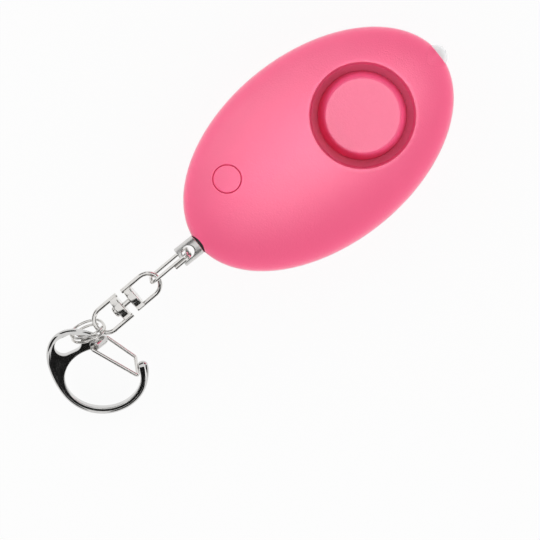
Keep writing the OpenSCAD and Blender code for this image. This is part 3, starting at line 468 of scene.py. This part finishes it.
# %% The button and its collar
# Button and collar use the copy of the plastic without sheen, so the V line stays dark red: painted shade in the
# crease.
collar_line = eased([(COLLAR_EDGE, 0.9), (COLLAR_EDGE, 0.003), (3.12, 0.0), (2.99, 0.3), (2.99, 1.7),
                     (COLLAR_EDGE, 1.7)], [0.002, 0.08, 0.05, 0.1])
collar = solid("button_collar", skin(dome_spun(BUTTON, collar_line, ROUND), closed_along=True))
settle(collar, "case", "front_shell", crease_shade_abs, 40)
face = np.stack([np.linspace(0.1, 2.4, 12), np.zeros(12)], -1)
side = eased([(2.4, 0), (2.8, 0), (2.94, 0.3), (2.94, 2.3), (1.5, 2.5)], [0.08, 0.05, 0.2])
button = solid("push_button_skin", skin(dome_spun(BUTTON, np.vstack([face, side[1:]]), ROUND)))
settle(button, "button", "push_button", crease_shade_abs)

# %% [markdown]
# ## The rear shell
# The lower half is fuller than an ellipsoid, with a flat patch that it lies on. A superellipse with power three
# gives that form: the plan shrinks by (1 - w^3)^(1/3) as the depth w grows. Three screws come in from below, so
# three counterbores are cut, and a ring inside each one gives the screw its seat.

# %% The egg's lower half
def bowl_rows(inset, floor, count, sides=FINE):
    """Rows down the wall to the floor, then across the floor to the middle, with plan scale (1 - w^3)^(1/3)."""
    depth = PART + 0.6 - inset
    w = (PART - floor) / depth * np.linspace(0, 1, count) ** 1.15
    scale = np.append((1 - w ** 3) ** (1 / 3), (1 - w[-1] ** 3) ** (1 / 3) * np.linspace(0.94, 0.02, 14))
    z = np.append(PART - depth * w, np.full(14, floor))
    u = np.linspace(0, 2 * np.pi, sides, endpoint=False)
    return np.stack([(HALF_L - inset) * scale[:, None] * np.cos(u), (HALF_W - inset) * scale[:, None] * np.sin(u),
                     z[:, None] + 0 * u], -1)


SCREWS = [(22.8, 8.8), (22.8, -8.8), (-20.0, -10.0)]
bowl = np.concatenate([seamed(bowl_rows(0, 0, 64))[::-1], bowl_rows(WALL, WALL, 30)])
rear = solid("rear_shell_skin", skin(bowl))
carve(rear, *[drill(2.1, -3, 4.4, "z", at, 72) for at in SCREWS],
      drill(LAMP_HOLE, 24, 40), drill(PIN_HOLE, -40, -24))
settle(rear, "case", "rear_shell", pink_abs)

seat = eased([(4.4, 1.6), (4.4, 1.05), (5.6, 1.05), (5.6, 3.0), (4.4, 3.0), (4.4, 1.6)], 0.05, 3)
seats = solid("screw_seats",
              *[skin(upright((*at, 0))(spun(seat[:-1], 64)), closed_along=True) for at in SCREWS])
settle(seats, "case", "rear_shell", pink_abs)

# %% [markdown]
# ## The lamp
# The lamp is a common 5 mm light-emitting diode, cast in milky epoxy. Its round tip peeps out of the wide end. Seen
# from above, the shell's edge runs straight across the lamp, so the hole has a collar: a cone that touches the dome.

# %% The lamp's collar and lens
cone = eased([(26.5, 3.2), (26.5, 4.4), (27.9, 5.16), (32.12, 2.96), (32.12, 2.57), (26.5, 2.57), (26.5, 3.2)],
             [0.1, 0.1, 0.25, 0.1, 0.1], 8)
lamp_collar = solid("lamp_collar", skin(level_x(spun(cone[:-1], ROUND)), closed_along=True))
settle(lamp_collar, "case", "front_shell", pink_abs)
LAMP_R, LAMP_X = 2.5, 31.5
tip = np.radians(np.linspace(0, 88, 22))
lens_line = np.vstack([[(25.4, 2.9), (26.4, 2.9), (26.45, LAMP_R)],
                       np.stack([LAMP_X + LAMP_R * np.sin(tip), LAMP_R * np.cos(tip)], -1)])
lens_skin = solid("lamp_lens", skin(level_x(spun(lens_line, 72))))
settle(lens_skin, "case", "lamp", lens_resin)

# %% [markdown]
# ## The pull pin's cap
# A turned metal cap ends the pin. It has broken edges and a cross hole with a countersink at each mouth, where
# the link goes through. The lathe gives the cap and a flared cutter gives the hole.

# %% The cap and its cross hole
HOLE_X = -35.0
barrel = eased([(-37.2, 0.05), (-37.2, 2.25), (-32.2, 2.25), (-32.2, 0.05)], 0.32, 9)
pin_cap = solid("pin_cap_skin", skin(level_x(spun(barrel, 96))))
depth = np.linspace(-3, 3, 61)
flare = 1.35 + 0.5 * np.clip(np.abs(depth) - 1.75, 0, 0.6)
carve(pin_cap, solid("cutter", skin(upright((HOLE_X, 0, PART))(spun(np.stack([depth, flare], -1), 72)))))
settle(pin_cap, "pull_pin", "pin_cap", turned_nickel)

# %% [markdown]
# ## The oval link
# One wire is bent into a long rectangle with round corners, through the cap's hole. Its two ends overlap: the
# tail lies beside the rod in the hole and a short way along one strand. Each is a path swept by a circle.

# %% The link
LINK_TURN, LINK_AT = turn(10.6, -5, 2), (HOLE_X, 0.0, PART)
LINK_WIRE, BEND, BESIDE = 0.4, 1.4, 0.38
oval = eased([(-5, BESIDE, 3), (0, BESIDE, 3), (0, BESIDE, -3), (-9.9, BESIDE, -3), (-9.9, BESIDE, 3),
              (-5, BESIDE, 3)], BEND, 14)
tail = eased([(0, -BESIDE, 0), (0, -BESIDE, 3), (-4, -BESIDE, 3)], BEND, 14)
oval_wire = skin(placed(swept(oval[:-1], LINK_WIRE, (0, 1, 0), 20), LINK_TURN, LINK_AT), closed_along=True)
tail_wire = skin(placed(swept(tail, LINK_WIRE, (0, 1, 0), 20), LINK_TURN, LINK_AT))
link = solid("oval_link_wire", oval_wire, tail_wire)
settle(link, "link", "oval_link", nickel)

# %% [markdown]
# ## The swivel
# Two wire loops face each other, each with a drum across its open end. A rivet joins the drums and lets one loop
# turn on the other. The loops are swept wires, and the drums and the rivet are lathed, all in the swivel's frame.

# %% Loops, drums and rivet
SWIVEL_AT, SPAN, BOW_R = (-43.5048, -0.297, 6.2486), 16.7, 2.75
SWIVEL_TURN = turn(0, -5, 2)
LOWER_AT = placed(np.array([-SPAN, 0.0, 0.0]), SWIVEL_TURN, SWIVEL_AT)


def swivel_loop(name, rotation, at, bore):
    """A wire bent round a half circle with two straight legs, and a drum with rounded edges and a bore."""
    bow = eased([(-7.7, BOW_R, 0), (0, BOW_R, 0), (0, -BOW_R, 0), (-7.7, -BOW_R, 0)], BOW_R, 40)
    drum = eased([(-7.45, 1.7), (-7.45, BOW_R), (-5.65, BOW_R), (-5.65, bore), (-7.45, bore), (-7.45, 1.7)],
                 [0.3, 0.3, 0.1, 0.1], 8)
    return solid(name, skin(placed(swept(bow, 0.5, (0, 0, 1), 22), rotation, at)),
                 skin(placed(spun(drum[:-1], 72), rotation, at), closed_along=True))


upper = swivel_loop("swivel_upper_wire", turn(22, -5, 2), SWIVEL_AT, 0.6)
settle(upper, "swivel_upper", "swivel_upper_loop", nickel)
lower = swivel_loop("swivel_lower_wire", SWIVEL_TURN @ turn(0, 0, 180), LOWER_AT, 0.66)
settle(lower, "swivel_lower", "swivel_lower_loop", nickel)
stem = eased([(-5.65, 0.05), (-5.65, 0.6), (-11.17, 0.6), (-11.17, 1.25), (-11.87, 1.25), (-11.87, 0.05)],
             [0.08, 0.02, 0.08, 0.45], 7)
rivet = solid("swivel_rivet_skin", skin(placed(spun(stem, 48), SWIVEL_TURN, SWIVEL_AT)))
settle(rivet, "swivel_upper", "swivel_rivet", nickel)

# %% [markdown]
# ## The split ring
# The ring is one wire wound two turns. Its height stays level along each turn and climbs by a smooth step
# between them, so the grid needs one angle along the wire and one round it. The wire narrows at its two ends.

# %% The ring
RING_R, RING_WIRE, PITCH, CLIMB = 3.65, 0.3, 1.05, 35.0
RING_TURN, RING_AT = turn(-67, 9, -13), np.array([-62.0811, -0.2276, 4.7431])
wound = np.linspace(CLIMB, 720 - CLIMB, 260)
step = np.clip((wound - 360 + CLIMB) / (2 * CLIMB), 0, 1)
climbed = PITCH * (step ** 2 * (3 - 2 * step) - 0.5)
coil = np.stack([RING_R * np.cos(np.radians(wound)), RING_R * np.sin(np.radians(wound)), climbed], -1)
narrowed = RING_WIRE * np.sqrt(np.clip(np.minimum(wound - CLIMB, 720 - CLIMB - wound) / 4 + 0.25, 0, 1))
ring = solid("split_ring_wire", skin(placed(swept(coil, narrowed, (0, 0, 1), 14), RING_TURN, RING_AT)))
settle(ring, "ring", "split_ring", nickel)

# %% [markdown]
# ## The clasp
# The clasp is a die-cast hook: a flat band round an oval opening, broad at its eye and rounded along its edges.
# Its inner edge is an ellipse, and its width is a bell curve on top of a constant. First come the numbers that the
# band, the knob and the gate share. The gate's wire leans, so the knob's front is as long as the lean asks.

# %% The clasp's numbers
CLASP_TURN, CLASP_AT = turn(15, 0, -38.2), np.array([-65.6182, -9.8101, 3.1215])


def opening(angle):
    """The opening's edge: an ellipse of half axes 8 and 6.62 mm, as a radius at an angle in degrees."""
    return 1 / np.hypot(np.cos(np.radians(angle)) / 8, np.sin(np.radians(angle)) / 6.62)


def body_edge(angle):
    """The band's outer edge: the opening plus 1.5 mm, a bell of 4.9 mm at the eye and one of 0.6 mm at the nose."""
    return (opening(angle) + 1.5 + 4.9 * np.exp(-((angle - 138) / 36) ** 2)
            + 0.6 * np.exp(-((angle - 380) / 18) ** 2))


def polar(radius, angle):
    """A point of the clasp's plane."""
    return np.array([radius * np.cos(np.radians(angle)), radius * np.sin(np.radians(angle)), 0])


GATE_HALF, HALF_T = 3.1, 1.1
PIVOT = np.array([-0.9, opening(98) + 0.9, 0])
LATCH = polar(opening(17.8) - 0.3, 17.8)
BAR_AXIS = turn(23.6, 5.9, 0) @ np.array([0, 0, 1.0])
GATE_AXIS = turn(10, -33, 0) @ np.array([0, 0, 1.0])
strand = LATCH - PIVOT + GATE_HALF * (BAR_AXIS - GATE_AXIS)
dip = -strand @ GATE_AXIS / np.linalg.norm(np.cross(strand, GATE_AXIS))
KNOB_FRONT, KNOB_BACK = 2.55 - dip * 1.55, 1.95
print("knob", round(KNOB_BACK + KNOB_FRONT, 2), "mm long")

# %% [markdown]
# A section carried round by an angle gives the whole band. Each corner of the section is a quarter ellipse, wide on
# the outer edge, and the section shrinks to a round nose at the band's free end.

# %% The clasp's band
nose = np.linspace(0, 86, 14)
angles = np.append(np.linspace(96, 376, 150), 376 + 7 * np.sin(np.radians(nose[1:])))
shrink = np.append(np.ones(150), np.cos(np.radians(nose[1:])))
low, high = opening(angles)[:, None], body_edge(angles)[:, None]
quarter = np.radians(np.linspace(0, 90, 9))
cos_q, sin_q = np.cos(quarter), np.sin(quarter)
outer_w, inner_w = np.minimum(0.55 * (high - low), 1.4), np.minimum(0.2 * (high - low), 0.25)
outer_h, inner_h = 0.95, 0.3
r = np.concatenate([
    high - outer_w * (1 - cos_q), low + inner_w * (1 - sin_q),
    low + inner_w * (1 - cos_q), high - outer_w * (1 - sin_q)], 1)
z = np.concatenate([
    HALF_T - outer_h * (1 - sin_q), HALF_T - inner_h * (1 - cos_q),
    -HALF_T + inner_h * (1 - sin_q), -HALF_T + outer_h * (1 - cos_q)])[None]
middle = (low + high) / 2
r, z = middle + (r - middle) * shrink[:, None], z * shrink[:, None]
theta = np.radians(angles)[:, None]
band = np.stack([r * np.cos(theta), r * np.sin(theta), z], -1)
clasp = solid("clasp_hook", skin(placed(band, CLASP_TURN, CLASP_AT)))
print("band", round(float((high - low).min()), 1), "to", round(float((high - low).max()), 1), "mm wide")

# %% [markdown]
# The eye and the notch for the gate are cut with Booleans. The eye is a slot with round ends. Its cutter swells
# towards both faces, so the eye's rim comes out rounded. The knob, which holds the gate, is lathed with its bore.

# %% The eye, the notch and the knob
def along(axis):
    """A rotation whose X axis points along a direction."""
    x = axis / np.linalg.norm(axis)
    y = np.cross((0.3, 1, 0.2), x)
    y /= np.linalg.norm(y)
    return np.stack([x, y, np.cross(x, y)], -1)


EYE_ANGLE, EYE_R, EYE_LENGTH = 135.3, 1.85, 2.0
eye_reach = (opening(EYE_ANGLE) + body_edge(EYE_ANGLE)) / 2 - 0.04
height = np.linspace(-1.5, 1.5, 41)[:, None]
swell = EYE_R + 0.14 * np.clip(np.abs(height) / HALF_T, 0, 1.2) ** 5
u = np.linspace(0, 2 * np.pi, 96, endpoint=False)
slot = np.stack([swell * np.cos(u) + EYE_LENGTH / 2 * np.sign(np.cos(u)), swell * np.sin(u), height + 0 * u],
                -1)
slot = placed(slot, turn(0, 0, 25), polar(eye_reach, EYE_ANGLE))
notch = placed(spun([(-6, 0.55), (6, 0.55)], 40), along(BAR_AXIS), LATCH)
carve(clasp, *[solid("cutter", skin(placed(grid, CLASP_TURN, CLASP_AT))) for grid in (slot, notch)])
settle(clasp, "clasp", "clasp_body", dark_nickel)

KNOB_R, BORE_R = 1.15, 0.46
stud = eased([(-KNOB_BACK, 0.47), (-KNOB_BACK, KNOB_R), (KNOB_FRONT, KNOB_R), (KNOB_FRONT, BORE_R),
              (-KNOB_BACK, BORE_R)], [0.3, 0.3, 0.02], 8)
stud_rows = placed(spun(stud[:-1], 56), along(GATE_AXIS), PIVOT)
knob = solid("clasp_knob", skin(placed(stud_rows, CLASP_TURN, CLASP_AT), closed_along=True))
settle(knob, "clasp", "clasp_body", dark_nickel)

# %% [markdown]
# ## The gate
# The clasp's gate is a spring wire bent to a long U. Its two ends turn in to the knob, and its end bar snaps
# into the notch behind the nose. It is one eased path in the clasp's frame, swept by a circle.

# %% The gate's wire
pin = KNOB_FRONT - 1.6
GATE_WIRE, GATE_BEND = 0.4, 0.55
bends = [PIVOT + pin * GATE_AXIS, PIVOT + GATE_HALF * GATE_AXIS, LATCH + GATE_HALF * BAR_AXIS,
         LATCH - GATE_HALF * BAR_AXIS, PIVOT - GATE_HALF * GATE_AXIS, PIVOT - pin * GATE_AXIS]
gate_path = eased(bends, GATE_BEND, 10)
gate_wire = swept(gate_path, GATE_WIRE, np.cross(LATCH - PIVOT, GATE_AXIS), 20)
gate = solid("clasp_gate_wire", skin(placed(gate_wire, CLASP_TURN, CLASP_AT)))
settle(gate, "gate", "clasp_gate", nickel)

# %% [markdown]
# ## Floor and light
# The photograph is a cut-out on white with soft light from all round. The world and the floor show white to the
# camera and in reflections. As light, the world is a tent with bright sides and a dim top, which shades the egg from
# its rim to its crown. The floor keeps a share of real diffuse shading, so the object's shadow stays on it.

# %% The world and the floor
def white_to_the_eye(tree):
    """1 for rays from the camera and for mirrored or transmitted rays, and 0 for the rest."""
    rays = add(tree, "LightPath", {}, {})
    first = add(tree, "Math", {"operation": "MAXIMUM"},
                {0: rays.outputs["Is Camera Ray"], 1: rays.outputs["Is Glossy Ray"]})
    return add(tree, "Math", {"operation": "MAXIMUM"},
               {0: first.outputs["Value"], 1: rays.outputs["Is Transmission Ray"]}).outputs["Value"]


world = bpy.data.worlds.new("white_room")
bpy.context.scene.world = world
world.use_nodes = True
tree = world.node_tree
tree.nodes.clear()
sky_way = add(tree, "TexCoord", {}, {}).outputs["Generated"]
sky_height = add(tree, "SeparateXYZ", {}, {"Vector": sky_way}).outputs["Z"]
tent = add(tree, "MapRange", {}, {"Value": sky_height, "From Min": 0.3, "From Max": 0.85,
                                  "To Min": 2.1, "To Max": 0.05})
room = add(tree, "Background", {}, {"Color": linear("#FFFFFF"), "Strength": tent.outputs["Result"]})
sight = add(tree, "Background", {}, {"Color": linear("#FFFFFF"), "Strength": 1.0})
blend = add(tree, "MixShader", {}, {0: white_to_the_eye(tree), 1: room.outputs[0], 2: sight.outputs[0]})
add(tree, "OutputWorld", {}, {"Surface": blend.outputs[0]})

sheet = bpy.data.materials.new("white_paper")
sheet.use_nodes = True
tree = sheet.node_tree
tree.nodes.clear()
paper = add(tree, "BsdfDiffuse", {}, {"Color": linear("#F4F4F4")})
glow = add(tree, "Emission", {}, {"Color": linear("#FFFFFF"), "Strength": 1.0})
share = add(tree, "Math", {"operation": "MULTIPLY"}, {0: white_to_the_eye(tree), 1: 0.93})
blend = add(tree, "MixShader", {}, {0: share.outputs["Value"], 1: paper.outputs[0], 2: glow.outputs[0]})
add(tree, "OutputMaterial", {}, {"Surface": blend.outputs[0]})


def card(name, middle, right, up, size, material):
    """A flat sheet of the stage: its middle, its two directions and its size, in metres."""
    right, up = np.array(right, float), np.array(up, float)
    corners = [np.array(middle) + size[0] / 2 * i * right + size[1] / 2 * j * up
               for i, j in ((-1, -1), (1, -1), (1, 1), (-1, 1))]
    mesh = bpy.data.meshes.new(name)
    mesh.from_pydata(corners, [], [(0, 1, 2, 3)])
    mesh.materials.append(material)
    sheet_object = bpy.data.objects.new(name, mesh)
    bpy.context.collection.objects.link(sheet_object)
    return sheet_object


BELOW = 0.00005  # the floor lies a hair under the rest face, so that the two never share a plane
floor = card("floor", (0, 0, -BELOW), (1, 0, 0), (0, 1, 0), (3, 3), sheet)
print("floor", floor.dimensions[:2])

# %% [markdown]
# A weak fill lamp lights everything. Two large lamps, one overhead and one at the upper left, give the plastic its
# broad highlights, and light linking keeps them to the case. Polished nickel is only as good as what it mirrors, so
# dark cards stand outside the picture: they show in reflections alone, and neither shade nor light the object.

# %% Lamps
LAMP_DISTANCE = 0.8


def softbox(name, direction, size, power, target=(-0.02, -0.01, 0.01)):
    """An area lamp in a direction from the alarm, facing it."""
    lamp = bpy.data.lights.new(name, "AREA")
    lamp.shape, lamp.energy = "RECTANGLE", power
    lamp.size, lamp.size_y = size
    holder = bpy.data.objects.new(name, lamp)
    back = np.array(direction, float) / np.linalg.norm(direction)
    side = np.cross((0, 0, 1) if abs(back[2]) < 0.99 else (0, 1, 0), back)
    side /= np.linalg.norm(side)
    matrix = np.eye(4)
    matrix[:3, 0], matrix[:3, 1], matrix[:3, 2] = side, np.cross(back, side), back
    matrix[:3, 3] = np.array(target) + LAMP_DISTANCE * back
    holder.matrix_world = Matrix(matrix.tolist())
    bpy.context.collection.objects.link(holder)
    return holder


softbox("fill", (0.4, -0.7, 0.6), (0.5, 0.5), 0.35)
skins = (front, lip, collar, lamp_collar, button, rear)
for name, direction, size, power, lit in (
        ("sheen", (0.12, -0.03, 1.0), (1.0, 0.52), 14.8, (*skins, groove, cap)),
        ("window", (-0.1, 0.8, 0.6), (0.9, 0.9), 8.5, skins)):
    shine = softbox(name, direction, size, power)
    shine.visible_diffuse = shine.visible_camera = False
    shine.light_linking.receiver_collection = bpy.data.collections.new(name + "_pieces")
    for piece in lit:
        shine.light_linking.receiver_collection.objects.link(piece)
    print(name, "lamp on", len(lit), "pieces")

# %% [markdown]
# One card leans over the clasp, where the camera sees it mirrored in the flat band. Six screens stand round the
# alarm with gaps between them, so that round wires get dark lines along their sides.

# %% Dark cards
black = bpy.data.materials.new("black_card")
black.use_nodes = True
black.node_tree.nodes["Principled BSDF"].inputs["Base Color"].default_value = linear("#0A0A0A")
black.node_tree.nodes["Principled BSDF"].inputs["Roughness"].default_value = 0.9
LEAN, CARD_DISTANCE, SCREEN_DISTANCE, SCREEN_HEIGHT = np.radians(30), 0.5, 0.6, 0.28
lean_way = -np.sin(LEAN) * UP + np.cos(LEAN) * np.array([0, 0, 1])
cards = [card("dark_card", CLASP_AT * MM + CARD_DISTANCE * lean_way, RIGHT, np.cross(lean_way, RIGHT),
              (0.5, 0.22), black)]
for k, bearing in enumerate(np.radians(np.arange(15, 375, 60))):
    way = np.array([np.cos(bearing), np.sin(bearing), 0])
    cards.append(card(f"dark_screen_{k}", SCREEN_DISTANCE * way + (0, 0, SCREEN_HEIGHT), (-way[1], way[0], 0),
                      (0, 0, 1), (0.5, 0.54), black))
for dark in cards:
    dark.visible_camera = dark.visible_diffuse = dark.visible_shadow = dark.visible_transmission = False
print(len(cards), "dark cards set")

# %% [markdown]
# ## Finish
# The view transform is Standard, so a colour comes out as it is written. The visual model must stay inside the
# engineering model's box.

# %% The view transform, and the end
bpy.context.scene.view_settings.view_transform = "Standard"
